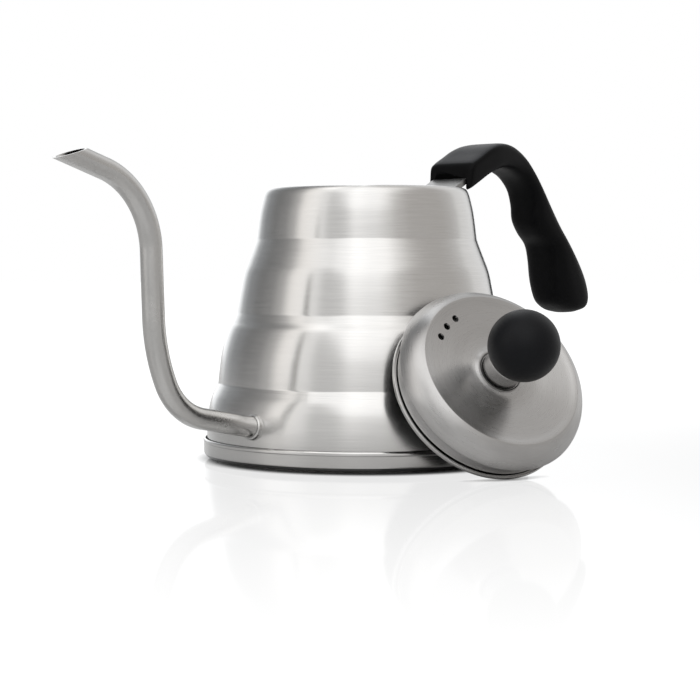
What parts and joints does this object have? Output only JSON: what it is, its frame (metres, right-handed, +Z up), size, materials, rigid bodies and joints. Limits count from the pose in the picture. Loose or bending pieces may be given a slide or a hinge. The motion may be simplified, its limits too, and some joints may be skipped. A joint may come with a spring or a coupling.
{
  "type": "gooseneck kettle",
  "caption": "Gooseneck pour-over kettle with a tiered steel body, curved spout, black handle and a lift-off lid with a ball knob, lid leaning on the body.",
  "frame": {"origin": "centre of the flat underside of the base disc, on the body's axis", "axes": "+Z up along the body's axis, +X towards the handle, spout along -X, lid leaning on the -Y side"},
  "size_m": [0.3344, 0.1951, 0.1442],
  "materials": {
    "body_steel": "satin, brushed around the body",
    "spout_steel": "satin, brushed along the tube",
    "lid_steel": "satin, spun",
    "polished_steel": "fine satin to polished",
    "base_steel": "turned",
    "bracket_steel": "satin",
    "fastener_steel": "plain",
    "insert_brass": "turned",
    "handle_black": "satin, finely grained",
    "knob_black": "matte, finely grained",
    "gasket_black": "matte"
  },
  "bodies": {
    "kettle": {"body_shell": "body_steel", "base_ring": "polished_steel", "base_disc": "base_steel", "base_pan": "body_steel", "spout_tube": "spout_steel", "spout_weld": "spout_steel", "handle_grip": "handle_black", "handle_inserts": "insert_brass", "handle_bracket": "bracket_steel", "bracket_weld": "bracket_steel", "handle_screw_washers": "fastener_steel", "handle_screws": "fastener_steel"},
    "lid": {"lid_cap": "lid_steel", "lid_rim_ring": "polished_steel", "knob_gasket": "gasket_black", "knob_ferrule": "polished_steel", "knob_ball": "knob_black", "knob_insert": "insert_brass", "knob_washer": "fastener_steel", "knob_screw": "fastener_steel"}
  },
  "joints": [
    {"name": "lid_lift", "type": "slide", "parent": "kettle", "child": "lid", "axis": [0, 0, 1], "range_m": [0, 0.2]}
  ]
}
